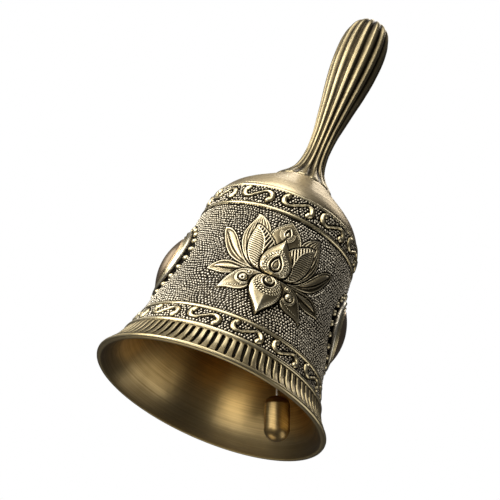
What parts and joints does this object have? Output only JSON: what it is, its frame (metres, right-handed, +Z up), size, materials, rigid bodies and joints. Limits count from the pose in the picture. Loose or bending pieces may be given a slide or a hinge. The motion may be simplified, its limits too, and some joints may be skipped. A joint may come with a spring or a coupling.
{
  "type": "hand bell",
  "caption": "Small brass hand bell with a fluted screwed-on handle, relief flowers, side medallions, a ribbed lip and a swinging clapper on a link.",
  "frame": {"origin": "centre of the mouth, on the plane that the lip rests on", "axes": "+Z up the bell's axis towards the tip of the handle; -Y is the face with one relief flower; the medallions are at +X and -X; the stored clapper leans towards +X and +Y"},
  "size_m": [0.0684, 0.0684, 0.1391],
  "materials": {
    "antique_brass": "antiqued cast brass, dark patina in the recesses, rubbed bright on the relief",
    "antique_brass_handle": "antiqued cast brass, dark in the flutes, bright on the lands",
    "plated_steel": "zinc plated, satin",
    "spring_steel": "dark oiled spring steel",
    "wire_steel": "drawn wire, satin",
    "plain_brass": "turned brass, satin, worn where it strikes"
  },
  "bodies": {
    "bell": {"bell_shell": "antique_brass", "handle": "antique_brass_handle", "eye_bolt": "plated_steel", "flat_washer": "plated_steel", "spring_washer": "spring_steel", "hex_nut": "plated_steel"},
    "link": {"link_ring": "wire_steel"},
    "clapper": {"clapper_rod": "wire_steel", "clapper_bob": "plain_brass"}
  },
  "joints": [
    {"name": "link_swing", "type": "hinge", "parent": "bell", "child": "link", "pos_m": [0, 0, 0.0588], "axis": [1, 0, 0], "range_deg": [-17.8, 0]},
    {"name": "clapper_swing", "type": "hinge", "parent": "link", "child": "clapper", "pos_m": [0, 0.0006, 0.05495], "axis": [0, 0.988, 0.1547], "range_deg": [0, 44]}
  ]
}
